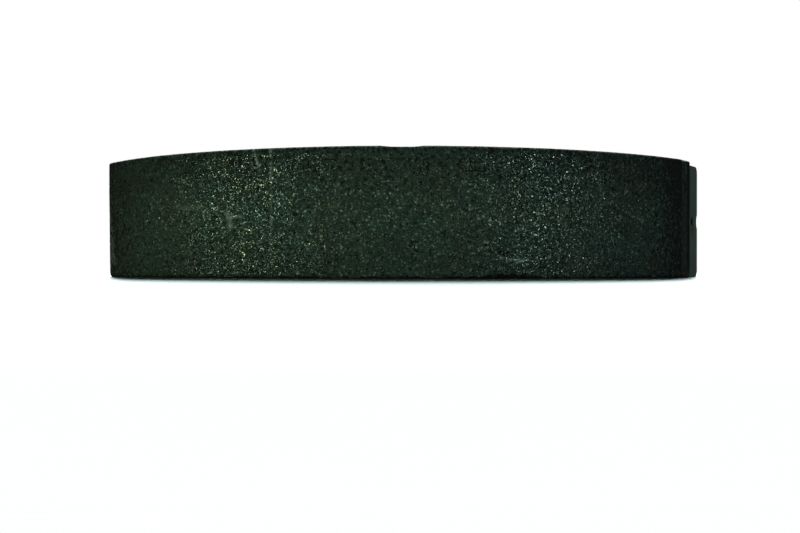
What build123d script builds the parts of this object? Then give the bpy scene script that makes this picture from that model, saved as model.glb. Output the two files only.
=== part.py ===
"""Drum brake shoe with a bonded lining, standing on its side edge.

A leading shoe for a small drum brake, in millimetres and degrees. Three pieces make it:
a moulded friction lining, the rolled steel table it is bonded to, and the stamped web
that is projection-welded to the back of the table.

The drum's axis is vertical. The friction face looks along -Y, the wheel-cylinder end is
at -X and the anchor end at +X. Z = 0 is the surface the shoe stands on, and the origin is
under the middle of its box. Angles run from the middle of the lining (-Y) towards +X.
"""

import os
from math import asin, cos, pi, radians, sin, sqrt

from build123d import *

# --- Driving dimensions -----------------------------------------------------------------

# Drum and lining
drum_radius = 101.6  # an 8 inch drum; the friction face is ground to it
shoe_width = 32.0  # along the drum's axis, lining and table alike
lining_thickness = 5.0
lining_arc = 106.5  # angle from one end of the lining to the other
lining_arris = 0.4  # broken edge all along the friction face

# Ground bevel across the anchor end of the lining
anchor_bevel_length = 7.0  # along the face
anchor_bevel_depth = 1.0  # below the face, at the lining's end

# Skewed flat at the lower corner of the cylinder end, a little below the ground face
skew_bevel_height = 23.0  # up the end of the lining
skew_bevel_length = 6.5  # along the lower edge
skew_bevel_depth = 0.3  # below the face, at the lower corner

# Shallow locating relief in the upper edge of the lining
relief_width = 11.0
relief_depth = 0.3
relief_offset = 2.9  # from the middle of the lining, towards the anchor end

# Table
table_thickness = 2.0
table_arc = 128.0  # angle from one end of the table to the other
table_corner_radius = 2.0  # at the four corners of the strip
end_notch_width = 4.0  # scallop in each end of the strip, where the web stops
end_notch_depth = 1.0
weld_mark_radius = 1.5  # electrode mark pressed into the table at each end
weld_mark_depth = 0.6
weld_mark_setback = 5.3  # from the end of the table to the middle of the mark

# Web
web_thickness = 4.0
web_depth = 26.0  # from the table to the inner edge, at the middle
web_end_setback = 2.5  # welded edge stops this far short of the table's end
toe_step = 2.0  # the toes stand this far inside the welded edge
toe_width = 16.0  # along the flat end face
toe_drop = 24.0  # the end faces stop this far short of the drum's axis
toe_corner_radius = 3.0

# Projection welds along the outer edge of the web
weld_land_count = 9
weld_land_length = 7.0
weld_gap = 0.4  # the edge stands clear of the table between the lands

# Holes and strut notch in the web
hold_down_hole_radius = 4.5
hold_down_inset = 12.0  # from the table to the hole's centre
spring_hole_radius = 2.75
spring_hole_inset = 10.0
return_spring_angle = 66.0  # one hole near each toe
adjuster_spring_angle = -36.0
strut_notch_width = 8.0
strut_notch_corner_radius = 1.5
strut_notch_land = 14.5  # metal left between the notch and the table
strut_notch_angle = -52.5

# --- Values worked out from them --------------------------------------------------------

table_outer_radius = drum_radius - lining_thickness
table_inner_radius = table_outer_radius - table_thickness
toe_radius = table_inner_radius - toe_step
half_lining = lining_arc / 2
half_table = table_arc / 2
mid_width = shoe_width / 2

# The box runs from the middle of the friction face back to the toes' end faces.
drum_axis_y = (drum_radius + toe_drop) / 2
shoe_plane = Plane(origin=(0, drum_axis_y, 0))
web_plane = shoe_plane.offset(mid_width - web_thickness / 2)


def arc_angle(length, radius):
    """The angle that an arc of this length covers at this radius."""
    return length / radius * 180 / pi


def on_arc(radius, angle):
    """A point of the shoe's plane, by its distance from the drum's axis and its angle."""
    return (radius * sin(radians(angle)), -radius * cos(radians(angle)))


def in_space(radius, angle, height):
    """The same point as on_arc, at a height above the surface the shoe stands on."""
    x, y = on_arc(radius, angle)
    return Vector(x, y + drum_axis_y, height)


def arc_between(radius, start, end):
    """An arc about the drum's axis, between two of the shoe's own angles."""
    return CenterArc((0, 0), radius, start - 90, end - start)


def radial_plane(radius, angle, height):
    """A plane that faces away from the drum's axis, with its X axis along the shoe."""
    along = Vector(cos(radians(angle)), sin(radians(angle)), 0)
    outward = Vector(*on_arc(1, angle), 0)
    return Plane(origin=in_space(radius, angle, height), x_dir=along, z_dir=outward)


# --- Friction lining --------------------------------------------------------------------

face_end = half_lining - arc_angle(anchor_bevel_length, drum_radius)
bevelled_radius = drum_radius - anchor_bevel_depth

with BuildPart() as friction_lining:
    # Cross-section: the anchor end tapers along its bevel to a thinner, radial end face.
    with BuildSketch(shoe_plane):
        with BuildLine():
            friction_face = arc_between(drum_radius, -half_lining, face_end)
            bevel = Line(friction_face @ 1, on_arc(bevelled_radius, half_lining))
            bonded_face = arc_between(table_outer_radius, -half_lining, half_lining)
            Line(bevel @ 1, bonded_face @ 1)
            Line(bonded_face @ 0, friction_face @ 0)
        make_face()
    extrude(amount=shoe_width)

    # The arris along both sides of the friction face.
    face = friction_lining.faces().filter_by(GeomType.CYLINDER).sort_by(SortBy.AREA)[-1]
    chamfer(face.edges().filter_by(GeomType.CIRCLE), length=lining_arris)

    # The skewed bevel is one plane, through a point up the end of the lining, one along
    # its lower edge and one below the face at the lower corner.
    up_the_end = in_space(drum_radius, -half_lining, skew_bevel_height)
    skew_start = -half_lining + arc_angle(skew_bevel_length, drum_radius)
    along_the_edge = in_space(drum_radius, skew_start, 0)
    at_the_corner = in_space(drum_radius - skew_bevel_depth, -half_lining, 0)
    skew_normal = (along_the_edge - at_the_corner).cross(up_the_end - at_the_corner)
    skew_plane = Plane(origin=at_the_corner, z_dir=skew_normal)
    lining_side = Keep.TOP if skew_plane.to_local_coords(Vector(0, drum_axis_y, 0)).Z > 0 else Keep.BOTTOM
    split(bisect_by=skew_plane, keep=lining_side)

    # The locating relief in the upper edge.
    relief_angle = arc_angle(relief_offset, drum_radius)
    relief_plane = radial_plane(table_outer_radius, relief_angle, shoe_width)
    with BuildSketch(relief_plane):
        Rectangle(relief_width, 2 * relief_depth)
    extrude(amount=lining_thickness, both=True, mode=Mode.SUBTRACT)

# --- Table ------------------------------------------------------------------------------

with BuildPart() as shoe_table:
    with BuildSketch(shoe_plane):
        with BuildLine():
            outer_face = arc_between(table_outer_radius, -half_table, half_table)
            inner_face = arc_between(table_inner_radius, -half_table, half_table)
            Line(outer_face @ 0, inner_face @ 0)
            Line(outer_face @ 1, inner_face @ 1)
        make_face()
    extrude(amount=shoe_width)

    # The four corners of the strip are rounded before it is rolled.
    strip_corners = shoe_table.edges().filter_by(GeomType.LINE).filter_by(Axis.Z, reverse=True)
    fillet(strip_corners, radius=table_corner_radius)

    # A scallop in the middle of each end, as an arc of the stated width and depth.
    scallop_radius = (end_notch_width**2 / 4 + end_notch_depth**2) / (2 * end_notch_depth)
    for side in (-1, 1):
        end_plane = radial_plane(table_outer_radius, side * half_table, mid_width)
        with BuildSketch(end_plane):
            with Locations((side * (scallop_radius - end_notch_depth), 0)):
                Circle(scallop_radius)
        extrude(amount=2 * table_thickness, both=True, mode=Mode.SUBTRACT)

    # The weld electrode leaves a shallow, round-bottomed mark near each end.
    mark_ball_radius = (weld_mark_radius**2 + weld_mark_depth**2) / (2 * weld_mark_depth)
    mark_ball_centre = table_outer_radius + mark_ball_radius - weld_mark_depth
    mark_angle = half_table - arc_angle(weld_mark_setback, table_outer_radius)
    with Locations(*(in_space(mark_ball_centre, side * mark_angle, mid_width) for side in (-1, 1))):
        Sphere(mark_ball_radius, mode=Mode.SUBTRACT)

# --- Web --------------------------------------------------------------------------------

half_weld = half_table - arc_angle(web_end_setback, table_inner_radius)
land_angle = arc_angle(weld_land_length, table_inner_radius)
land_pitch = (2 * half_weld - land_angle) / (weld_land_count - 1)
gap_radius = table_inner_radius - weld_gap
toe_tip_x = sqrt(toe_radius**2 - toe_drop**2)
toe_tip_angle = 90 - arc_angle(asin(toe_drop / toe_radius), 1)
toe_heel_x = toe_tip_x - toe_width

with BuildPart() as shoe_web:
    with BuildSketch(web_plane) as web_outline:
        with BuildLine():
            # Outer edge: weld lands on the table, with a narrow gap between each two.
            for land in range(weld_land_count):
                land_start = land * land_pitch - half_weld
                seat = arc_between(table_inner_radius, land_start, land_start + land_angle)
                if land > 0:
                    Line(gap @ 1, seat @ 0)
                if land < weld_land_count - 1:
                    gap = arc_between(gap_radius, land_start + land_angle, land_start + land_pitch)
                    Line(seat @ 1, gap @ 0)

            # A toe past each end of the table, stepped in and cut off by a flat end face.
            for side in (-1, 1):
                toe_edge = arc_between(toe_radius, side * half_weld, side * toe_tip_angle)
                Line(on_arc(table_inner_radius, side * half_weld), toe_edge @ 0)
                Line(toe_edge @ 1, (side * toe_heel_x, -toe_drop))

            # The inner edge is one arc, deepest at the hold-down hole.
            inner_edge_y = web_depth - table_inner_radius
            ThreePointArc((-toe_heel_x, -toe_drop), (0, inner_edge_y), (toe_heel_x, -toe_drop))
        make_face()
        fillet(web_outline.vertices().group_by(Axis.Y)[-1], radius=toe_corner_radius)

        with Locations(on_arc(table_inner_radius - hold_down_inset, 0)):
            Circle(hold_down_hole_radius, mode=Mode.SUBTRACT)
        for angle in (-return_spring_angle, adjuster_spring_angle, return_spring_angle):
            with Locations(on_arc(table_inner_radius - spring_hole_inset, angle)):
                Circle(spring_hole_radius, mode=Mode.SUBTRACT)

        # The strut notch is open to the inner edge, so its shape runs on past it.
        notch_centre = table_inner_radius - strut_notch_land - web_depth / 2
        with Locations(on_arc(notch_centre, strut_notch_angle)):
            RectangleRounded(
                strut_notch_width,
                web_depth,
                strut_notch_corner_radius,
                rotation=strut_notch_angle,
                mode=Mode.SUBTRACT,
            )
    extrude(amount=web_thickness)

# --- Files ------------------------------------------------------------------------------

friction_lining.part.label = "friction_lining"
shoe_table.part.label = "shoe_table"
shoe_web.part.label = "shoe_web"

os.makedirs("parts", exist_ok=True)
export_step(friction_lining.part, "parts/friction_lining.step")
export_step(shoe_table.part, "parts/shoe_table.step")
export_step(shoe_web.part, "parts/shoe_web.step")
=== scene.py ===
# %% [markdown]
# # Drum brake shoe with a bonded lining
#
# A brake shoe is a steel arch with a block of friction composition glued to its outside. This
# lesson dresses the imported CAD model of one: the lining gets its ground, speckled face, the
# rolled table its sheared edges and weld marks, and the stamped web its sheared outline and primer.
#
# The shoe stands on its side edge. The drum's axis is vertical, the friction face looks along -Y
# and every angle runs from the middle of the lining towards +X.

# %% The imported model
import math

import bmesh
import bpy
import numpy as np
from mathutils import Matrix, Vector
from mathutils.geometry import tessellate_polygon


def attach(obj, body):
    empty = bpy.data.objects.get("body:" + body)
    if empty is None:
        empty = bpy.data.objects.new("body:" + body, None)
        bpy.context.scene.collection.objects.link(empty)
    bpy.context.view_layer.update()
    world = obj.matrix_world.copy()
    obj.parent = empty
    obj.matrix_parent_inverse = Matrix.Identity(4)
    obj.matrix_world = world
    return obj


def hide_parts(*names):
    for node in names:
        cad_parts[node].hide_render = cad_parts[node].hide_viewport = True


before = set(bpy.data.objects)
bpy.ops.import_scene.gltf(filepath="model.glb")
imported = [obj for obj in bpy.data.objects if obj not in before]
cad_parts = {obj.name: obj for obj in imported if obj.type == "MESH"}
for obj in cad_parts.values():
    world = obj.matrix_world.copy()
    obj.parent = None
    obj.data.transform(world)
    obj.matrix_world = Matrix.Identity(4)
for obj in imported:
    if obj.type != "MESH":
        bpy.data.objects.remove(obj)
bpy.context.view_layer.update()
print("CAD nodes:", sorted(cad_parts))

# %% [markdown]
# ## Small helpers
#
# A few helpers serve every cell below. Colours are written as sRGB hex values, as a paint maker
# gives them, and Blender's sockets want linear ones. Shader and geometry nodes are added by one
# function that takes the node's settings and its links together. Two more turn grids of points into
# faces, and points and faces into a mesh object with its normals and sharp edges in order.

# %% Helpers
mm = 0.001


def linear(hex_colour):
    """An sRGB hex value as the linear colour that a socket wants."""
    values = [int(hex_colour[i : i + 2], 16) / 255 for i in (1, 3, 5)]
    return tuple(v / 12.92 if v <= 0.04045 else ((v + 0.055) / 1.055) ** 2.4 for v in values) + (1.0,)


def add(tree, kind, inputs=None, stops=(), **settings):
    """Adds a node. An input's value is a number, a colour, or the output socket that feeds it.

    The stops of a colour ramp are pairs of position and colour, in order.
    """
    made = tree.nodes.new(kind)
    for name, value in settings.items():
        setattr(made, name, value)
    for key, value in (inputs or {}).items():
        if isinstance(value, bpy.types.NodeSocket):
            tree.links.new(value, made.inputs[key])
        else:
            made.inputs[key].default_value = value
    if stops:
        elements = made.color_ramp.elements
        elements[0].position, elements[-1].position = stops[0][0], stops[-1][0]
        for position, _ in stops[1:-1]:
            elements.new(position)
        for element, (_, colour) in zip(elements, stops):
            element.color = colour
    return made


def quads(index):
    """Four-cornered faces over a grid of point numbers."""
    corners = (index[:-1, :-1], index[1:, :-1], index[1:, 1:], index[:-1, 1:])
    return np.stack(corners, axis=-1).reshape(-1, 4).tolist()


def piece_from(name, points, faces, sharp_angle=math.radians(32)):
    """A mesh object at the origin, smooth except across edges sharper than sharp_angle."""
    mesh = bpy.data.meshes.new(name)
    mesh.from_pydata([tuple(p) for p in points], [], [tuple(f) for f in faces])
    mesh.validate()
    tidy = bmesh.new()
    tidy.from_mesh(mesh)
    bmesh.ops.recalc_face_normals(tidy, faces=tidy.faces)
    tidy.to_mesh(mesh)
    tidy.free()
    mesh.shade_smooth()
    mesh.set_sharp_from_angle(angle=sharp_angle)
    made = bpy.data.objects.new(name, mesh)
    bpy.context.scene.collection.objects.link(made)
    return made


print("a mid grey, linear:", round(linear("#808080")[0], 4))

# %% [markdown]
# ## Camera
#
# The shoe is looked at squarely on its friction face, from just above the surface that it stands
# on and about a third of a metre from the drum's axis. That near, the long edges bow upwards in
# the middle, which is what shows that the face is a cylinder.

# %% Camera
drum_radius = 101.6 * mm
toe_drop = 24.0 * mm
drum_axis_y = (drum_radius + toe_drop) / 2

camera_distance = 3.477 * drum_radius
camera_height = 0.030 * drum_radius
camera_azimuth = math.radians(2.07)
camera_yaw, camera_pitch, camera_roll = -0.0054, -0.0002, -0.0006
focal_pixels, image_width = 1051.0, 800.0

camera_data = bpy.data.cameras.new("camera")
camera_data.sensor_width = 36.0
camera_data.lens = camera_data.sensor_width * focal_pixels / image_width
camera_data.clip_start = 0.005
camera = bpy.data.objects.new("camera", camera_data)
bpy.context.scene.collection.objects.link(camera)
bpy.context.scene.camera = camera

turn = (
    Matrix.Rotation(camera_azimuth - camera_yaw, 3, "Z")
    @ Matrix.Rotation(camera_pitch, 3, "X")
    @ Matrix.Rotation(camera_roll, 3, "Y")
    @ Matrix.Rotation(math.radians(90), 3, "X")
)
eye = Vector((math.sin(camera_azimuth), -math.cos(camera_azimuth), 0)) * camera_distance
eye += Vector((0, drum_axis_y, camera_height))
camera.matrix_world = Matrix.Translation(eye) @ turn.to_4x4()
print("camera at, mm:", [round(v / mm, 1) for v in eye], "lens", round(camera_data.lens, 2))

# %% [markdown]
# ## Floor, background and lamps
#
# The floor is a smooth white sheet. Seen this flat it reflects more than it scatters, so the foot
# of the dark lining shows in it as a narrow dark band. Away from the shoe the sheet fades into the
# background. The background is white to the camera, and white behind the shoe to whatever reflects
# it, but dim everywhere else, as a studio is.
#
# Two soft boxes stand to the left and right of the camera, low down. On a cylinder each makes one
# upright bright zone. The left one is a little warm and the right one a little cool. A third, from
# the front and left, is the fill, and the fourth, high up, lights the floor and the web.

# %% Floor
floor_half = 0.6
floor_mesh = bpy.data.meshes.new("studio_floor")
floor_corners = [(-floor_half, -floor_half, 0), (floor_half, -floor_half, 0)]
floor_corners += [(floor_half, floor_half, 0), (-floor_half, floor_half, 0)]
floor_mesh.from_pydata(floor_corners, [], [(0, 1, 2, 3)])
floor = bpy.data.objects.new("studio_floor", floor_mesh)
bpy.context.scene.collection.objects.link(floor)
print("floor, mm:", 2 * floor_half / mm, "square")

# %% Floor material
# A smooth white sheet gives the eye a floor that is matt from above and nearly a mirror where it is
# seen very flat. It is pale to the camera alone, so that it throws little light up at the shoe, and
# it ends in nothing, so that no edge or horizon shows.
white_sheet = bpy.data.materials.new("white_sheet")
white_sheet.use_nodes = True
tree = white_sheet.node_tree
tree.nodes.clear()
seen = add(tree, "ShaderNodeLightPath")
paper = add(
    tree,
    "ShaderNodeMapRange",
    {"Value": seen.outputs["Is Camera Ray"], "To Min": 0.06, "To Max": 0.98},
)
paper_colour = add(tree, "ShaderNodeCombineXYZ", {channel: paper.outputs[0] for channel in range(3)})
scattered = add(tree, "ShaderNodeBsdfDiffuse", {"Color": paper_colour.outputs[0]})
mirrored = add(
    tree, "ShaderNodeBsdfGlossy", {"Color": (1, 1, 1, 1), "Roughness": 0.46}, distribution="BECKMANN"
)
flatness = add(
    tree,
    "ShaderNodeMapRange",
    {"Value": add(tree, "ShaderNodeLayerWeight").outputs["Facing"], "From Min": 0.90, "From Max": 0.975},
)
mirror_share = add(
    tree, "ShaderNodeMath", {0: flatness.outputs[0], 1: seen.outputs["Is Camera Ray"]}, operation="MULTIPLY"
)
sheet = add(
    tree,
    "ShaderNodeMixShader",
    {0: mirror_share.outputs[0], 1: scattered.outputs[0], 2: mirrored.outputs[0]},
)
from_shoe = add(
    tree, "ShaderNodeVectorMath", {0: add(tree, "ShaderNodeTexCoord").outputs["Object"]}, operation="LENGTH"
)
fading = add(
    tree,
    "ShaderNodeMapRange",
    {"Value": from_shoe.outputs["Value"], "From Min": 0.15, "From Max": 0.34},
    interpolation_type="SMOOTHSTEP",
)
faded = add(
    tree,
    "ShaderNodeMixShader",
    {0: fading.outputs[0], 1: sheet.outputs[0], 2: add(tree, "ShaderNodeBsdfTransparent").outputs[0]},
)
add(tree, "ShaderNodeOutputMaterial", {"Surface": faded.outputs[0]})
floor_mesh.materials.append(white_sheet)
print(white_sheet.name + ":", len(tree.nodes), "nodes")

# %% World
# The backlight is a bright wall straight behind the shoe, for reflections only. It is stronger than
# the white that the camera sees, because the floor's rough mirror mixes the dim room into it.
world = bpy.data.worlds.new("studio")
bpy.context.scene.world = world
world.use_nodes = True
tree = world.node_tree
tree.nodes.clear()
ray = add(tree, "ShaderNodeLightPath")
direction = add(tree, "ShaderNodeTexCoord")
axes = add(tree, "ShaderNodeSeparateXYZ", {0: direction.outputs["Generated"]})

# How straight behind the shoe a ray goes: 1 along +Y, and less to either side.
sideways = add(tree, "ShaderNodeMath", {0: axes.outputs["X"]}, operation="ABSOLUTE")
straight = add(
    tree, "ShaderNodeMath", {0: sideways.outputs[0], 1: -1.2, 2: axes.outputs["Y"]}, operation="MULTIPLY_ADD"
)
behind = add(tree, "ShaderNodeMapRange", {"Value": straight.outputs[0], "From Min": 0.25, "From Max": 0.50})
reflected = add(
    tree,
    "ShaderNodeMath",
    {0: ray.outputs["Is Glossy Ray"], 1: ray.outputs["Is Transmission Ray"]},
    operation="MAXIMUM",
)
reflected_part = add(
    tree, "ShaderNodeMath", {0: reflected.outputs[0], 1: behind.outputs[0]}, operation="MULTIPLY"
)
room = add(tree, "ShaderNodeBackground", {"Color": linear("#EDF1F0"), "Strength": 0.04})
backlight = add(tree, "ShaderNodeBackground", {"Color": (0.84, 1.0, 1.0, 1), "Strength": 2.4})
white = add(tree, "ShaderNodeBackground", {"Color": (1, 1, 1, 1), "Strength": 1.0})
lit = add(
    tree,
    "ShaderNodeMixShader",
    {0: reflected_part.outputs[0], 1: room.outputs[0], 2: backlight.outputs[0]},
)
shown = add(
    tree,
    "ShaderNodeMixShader",
    {0: ray.outputs["Is Camera Ray"], 1: lit.outputs[0], 2: white.outputs[0]},
)
add(tree, "ShaderNodeOutputWorld", {"Surface": shown.outputs[0]})
print(world.name + ":", [shade.inputs["Strength"].default_value for shade in (room, backlight, white)])


# %% Soft boxes
lamp_aim = Vector((0, drum_axis_y - drum_radius * 0.6, 16 * mm))


def soft_box(name, azimuth, elevation, distance, size, power, colour):
    """An area lamp that looks at the shoe's middle; azimuth runs from -Y towards +X, in degrees."""
    data = bpy.data.lights.new(name, "AREA")
    data.shape = "RECTANGLE"
    data.size, data.size_y = size
    data.energy = power
    data.color = linear(colour)[:3]
    lamp = bpy.data.objects.new(name, data)
    across, up = math.radians(azimuth), math.radians(elevation)
    direction = Vector((math.sin(across) * math.cos(up), -math.cos(across) * math.cos(up), math.sin(up)))
    towards_shoe = (-direction).to_track_quat("-Z", "Y").to_matrix().to_4x4()
    lamp.matrix_world = Matrix.Translation(lamp_aim + direction * distance) @ towards_shoe
    bpy.context.scene.collection.objects.link(lamp)
    return lamp


# The numbers are degrees, degrees, metres, metres across and high, and watts.
soft_box("left_soft_box", -52, 4.5, 0.60, (0.30, 0.08), 1.74, "#E8FFDE")
soft_box("right_soft_box", 47, 4.5, 0.60, (0.26, 0.12), 1.20, "#DDF6FF")
soft_box("front_soft_box", -9, 8, 0.70, (0.60, 0.40), 0.70, "#EFFBF6")
soft_box("top_soft_box", 180, 84, 0.80, (0.30, 0.30), 7.0, "#FFFFFF")

bpy.context.scene.view_settings.view_transform = "Standard"
print("lamps, W:", [round(lamp.energy, 2) for lamp in bpy.data.lights])

# %% [markdown]
# ## Sizes
#
# The pieces below stand in for the CAD nodes, so they repeat the CAD model's sizes. Everything else
# is worked out from these.

# %% Sizes of the shoe
shoe_width = 32.0 * mm
lining_thickness = 5.0 * mm
half_lining = math.radians(53.25)
table_thickness = 2.0 * mm
half_table = math.radians(64.0)
web_thickness = 4.0 * mm

table_outer_radius = drum_radius - lining_thickness
table_inner_radius = table_outer_radius - table_thickness
mid_width = shoe_width / 2


def on_shoe(radius, angle, height):
    """Points in space from their distance to the drum's axis, angle and height; arrays allowed."""
    radius, angle, height = np.broadcast_arrays(radius, angle, height)
    return np.stack([radius * np.sin(angle), drum_axis_y - radius * np.cos(angle), height], axis=-1)


print("anchor end of the face, mm:", (on_shoe(drum_radius, half_lining, 0) / mm).round(1))

# %% [markdown]
# ## Random unevenness
#
# Ground friction composition isn't smooth: grains tear out and leave pits, and the surface rolls
# gently between them. A lattice of random values, blended smoothly between its points, gives such
# a surface at any grain size. Each lattice has its own seed, so the shoe is the same every time.


# %% Unevenness
def uneven(along, across, grain, seed):
    """Smooth random values from -1 to 1 over two coordinates in metres, with grains of this size."""
    u, v = along / grain, across / grain
    u0, v0 = np.floor(u).astype(int), np.floor(v).astype(int)
    fu, fv = u - u0, v - v0
    fu, fv = fu * fu * (3 - 2 * fu), fv * fv * (3 - 2 * fv)
    u0, v0 = u0 - u0.min(), v0 - v0.min()
    lattice = np.random.default_rng(seed).uniform(-1, 1, (u0.max() + 2, v0.max() + 2))
    near = lattice[u0, v0] * (1 - fu) + lattice[u0 + 1, v0] * fu
    far = lattice[u0, v0 + 1] * (1 - fu) + lattice[u0 + 1, v0 + 1] * fu
    return near * (1 - fv) + far * fv


steps = np.linspace(0, 1, 5)
print("five random values:", uneven(steps, 0 * steps, 1 / 4, 1).round(2))

# %% [markdown]
# ## Friction lining
#
# The lining is one moulded block, ground to the drum's radius, with a broad bevel across its anchor
# end and a skewed one at the lower corner of its other end. Its face is a height field over the arc
# and the width, which is the simplest form that can hold bevels, pits, scratches and chipped edges
# at once. The height field is closed by plain sides, ends and a back that lies on the table.

# %% Friction lining: the ground form
face_grid = 0.34 * mm
face_skin = 0.056 * mm
arris = 0.4 * mm
anchor_bevel_length, anchor_bevel_depth = 7.0 * mm, 1.0 * mm
skew_height, skew_length, skew_depth = 23.0 * mm, 6.5 * mm, 0.3 * mm
relief_width, relief_depth, relief_offset = 11.0 * mm, 0.3 * mm, 2.9 * mm
relief_ramp = 3.0 * mm

stations = int(2 * half_lining * drum_radius / face_grid) + 1
rows = int(shoe_width / face_grid) + 1
station_angle = np.linspace(-half_lining, half_lining, stations)
row_share = np.linspace(0, 1, rows)
angle, share = np.meshgrid(station_angle, row_share, indexing="ij")
arc = angle * drum_radius

# The relief lowers the upper edge a little over its width, and runs out gently at both ends.
in_relief = np.clip((relief_width / 2 - np.abs(arc - relief_offset)) / relief_ramp, 0, 1)
height = share * (shoe_width - relief_depth * in_relief)

# Both bevels are flat, so their radius follows from where each ray meets them.
face_radius = np.full_like(arc, drum_radius)
bevel_start = half_lining - anchor_bevel_length / drum_radius
bevel_from = np.array([math.sin(bevel_start), -math.cos(bevel_start)]) * drum_radius
bevel_to = np.array([math.sin(half_lining), -math.cos(half_lining)]) * (drum_radius - anchor_bevel_depth)
bevel_normal = np.array([bevel_to[1] - bevel_from[1], bevel_from[0] - bevel_to[0]])
bevel_radius = (bevel_from @ bevel_normal) / (
    np.sin(angle) * bevel_normal[0] - np.cos(angle) * bevel_normal[1]
)
face_radius = np.where(angle > bevel_start, np.minimum(face_radius, bevel_radius), face_radius)
skew_drop = (arc + half_lining * drum_radius) / skew_length + height / skew_height
face_radius = face_radius - skew_depth * np.clip(1 - skew_drop, 0, None)

print("lining face:", stations, "x", rows, "points")

# %% [markdown]
# ### Wear on the face
#
# Grinding and handling leave marks that no two linings share. The ground face rolls a little, has a
# fine grain and small pits, and along its long edges grains have broken away. All this could be a
# bump in the material, but then the outline would stay clean, so it goes into the height field.

# %% Friction lining: unevenness and ragged edges
rolling = uneven(arc, height, 9 * mm, 1) * 0.020 * mm + uneven(arc, height, 2.6 * mm, 2) * 0.006 * mm
grain = uneven(arc, height, 0.9 * mm, 3) * 0.006 * mm + uneven(arc, height, 0.5 * mm, 4) * 0.012 * mm
pits = np.clip(uneven(arc, height, 1.3 * mm, 5) - 0.62, 0, None) * 0.12 * mm
pits += np.clip(uneven(arc, height, 0.7 * mm, 6) - 0.70, 0, None) * 0.16 * mm

# One stretch of the lower edge has lost more than the rest.
ragged = 0.5 + 0.5 * uneven(arc, height * 0, 1.1 * mm, 7)
broken_stretch = np.exp(-(((arc - 29.3 * mm) / (7 * mm)) ** 2))
lower_arris = arris * (1.0 + 0.7 * ragged + 2.2 * broken_stretch * ragged)
upper_arris = arris * (0.55 + 0.5 * ragged)
end_distance = half_lining * drum_radius - np.abs(arc)
edge_cut = np.clip(lower_arris - height, 0, None)
edge_cut += np.clip(upper_arris - (shoe_width - height), 0, None)
edge_cut += np.clip(0.03 * mm - end_distance, 0, None)
print("deepest pit, mm:", round(pits.max() / mm, 3), "deepest edge, mm:", round(edge_cut.max() / mm, 2))

# %% [markdown]
# ### Marks
#
# A nick, a crack, two hair scratches up the face, one curved scratch and a few rubbed places are
# drawn as strokes between two points. Each point is its arc length from the middle of the lining and
# its height, both in millimetres. What is cut goes into the height field. What is rubbed goes into a
# point attribute, by which the material lightens it.


# %% Friction lining: marks
def strokes(*lines):
    """How strongly each point of the face lies on lines of (strength, start, end, width)."""
    total = np.zeros_like(arc)
    for strength, start, end, width in lines:
        a, b = np.array(start) * mm, np.array(end) * mm
        d = b - a
        t = np.clip(((arc - a[0]) * d[0] + (height - a[1]) * d[1]) / (d @ d), 0, 1)
        off = np.hypot(arc - a[0] - t * d[0], height - a[1] - t * d[1])
        total += strength * np.clip(1.5 - off / (width * mm), 0, 1)
    return total


nick = strokes((1.0, (26.6, 6.2), (27.7, 5.6), 0.36), (0.8, (31.0, 19.4), (32.4, 16.9), 0.32))
hair_scratches = strokes(
    (1.6, (-35.3, 33), (-33.1, 26.6), 0.26),
    (0.28, (-30.1, 32), (-29.8, 4), 0.24),
    (1.1, (-30.1, 31.5), (-30.0, 24.5), 0.28),
    (0.5, (-29.9, 15.5), (-29.8, 12), 0.30),
)
curved_scratch = strokes((1.0, (26.2, 5.4), (29.3, 4.6), 0.28), (1.0, (29.3, 4.6), (32.0, 4.3), 0.30))
curved_scratch = np.maximum(curved_scratch, strokes((1.0, (32.0, 4.3), (33.9, 4.9), 0.26)))
rubbed = strokes(
    (0.35, (-59.8, 18.3), (-50.9, 17.9), 0.7),
    (1.0, (-42.4, 15.9), (-41.5, 13.0), 0.75),
    (0.8, (-41.7, 15.2), (-37.6, 15.4), 0.40),
)
rubbed += hair_scratches + curved_scratch
rubbed = np.clip(rubbed * (0.6 + 0.6 * uneven(arc, height, 0.6 * mm, 8)), 0, 1)
scratch_depth, nick_depth = 0.05 * mm, 0.40 * mm
cut_depth = scratch_depth * np.clip(curved_scratch, 0, 1) + nick_depth * np.clip(nick, 0, 1)
print("share of the face that is rubbed:", round(float((rubbed > 0.2).mean()), 4))

# %% [markdown]
# ### Skin, rust, torn grains and painted light
#
# Point attributes also tell the material where the face differs in other ways. The skewed flat was
# never ground, so its dusty moulding skin is lighter. Rust has crept in at the anchor end. A painted
# light makes the middle of the face lighter and its top, bottom and ends darker, as the lamps light
# the curved face. Where grains have torn out, the broken resin is nearly black, and those faces get
# a material of their own. Its black is also painted shade in the hollows, along the edges and at
# the ends.

# %% Friction lining: skin, rust and painted light
skin_dust = 0.26
unground = np.clip((1 - skew_drop) / 0.05, 0, 1)
rubbed = rubbed + skin_dust * unground * np.clip((height - 2.5 * mm) / (1.5 * mm), 0, 1)

from_anchor_end = half_lining * drum_radius - arc
stained = np.exp(-((from_anchor_end / (3.5 * mm)) ** 2) - (height / (1.5 * mm)) ** 2)
stained += np.exp(-((from_anchor_end / (0.5 * mm)) ** 2) - ((height - 15.0 * mm) / (1.0 * mm)) ** 2)

# Painted light: lighter at mid-height, darker towards the top, the bottom and the last 26 mm of each end.
above = height - 16.5 * mm
painted_middle_light = np.exp(-((above / np.where(above > 0, 9.5 * mm, 15 * mm)) ** 2))
painted_middle_light = painted_middle_light * np.clip((94 * mm - np.abs(arc)) / (26 * mm), 0, 1)
print("most rust:", round(stained.max(), 2), "mean smoothing:", round(painted_middle_light.mean(), 2))
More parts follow.
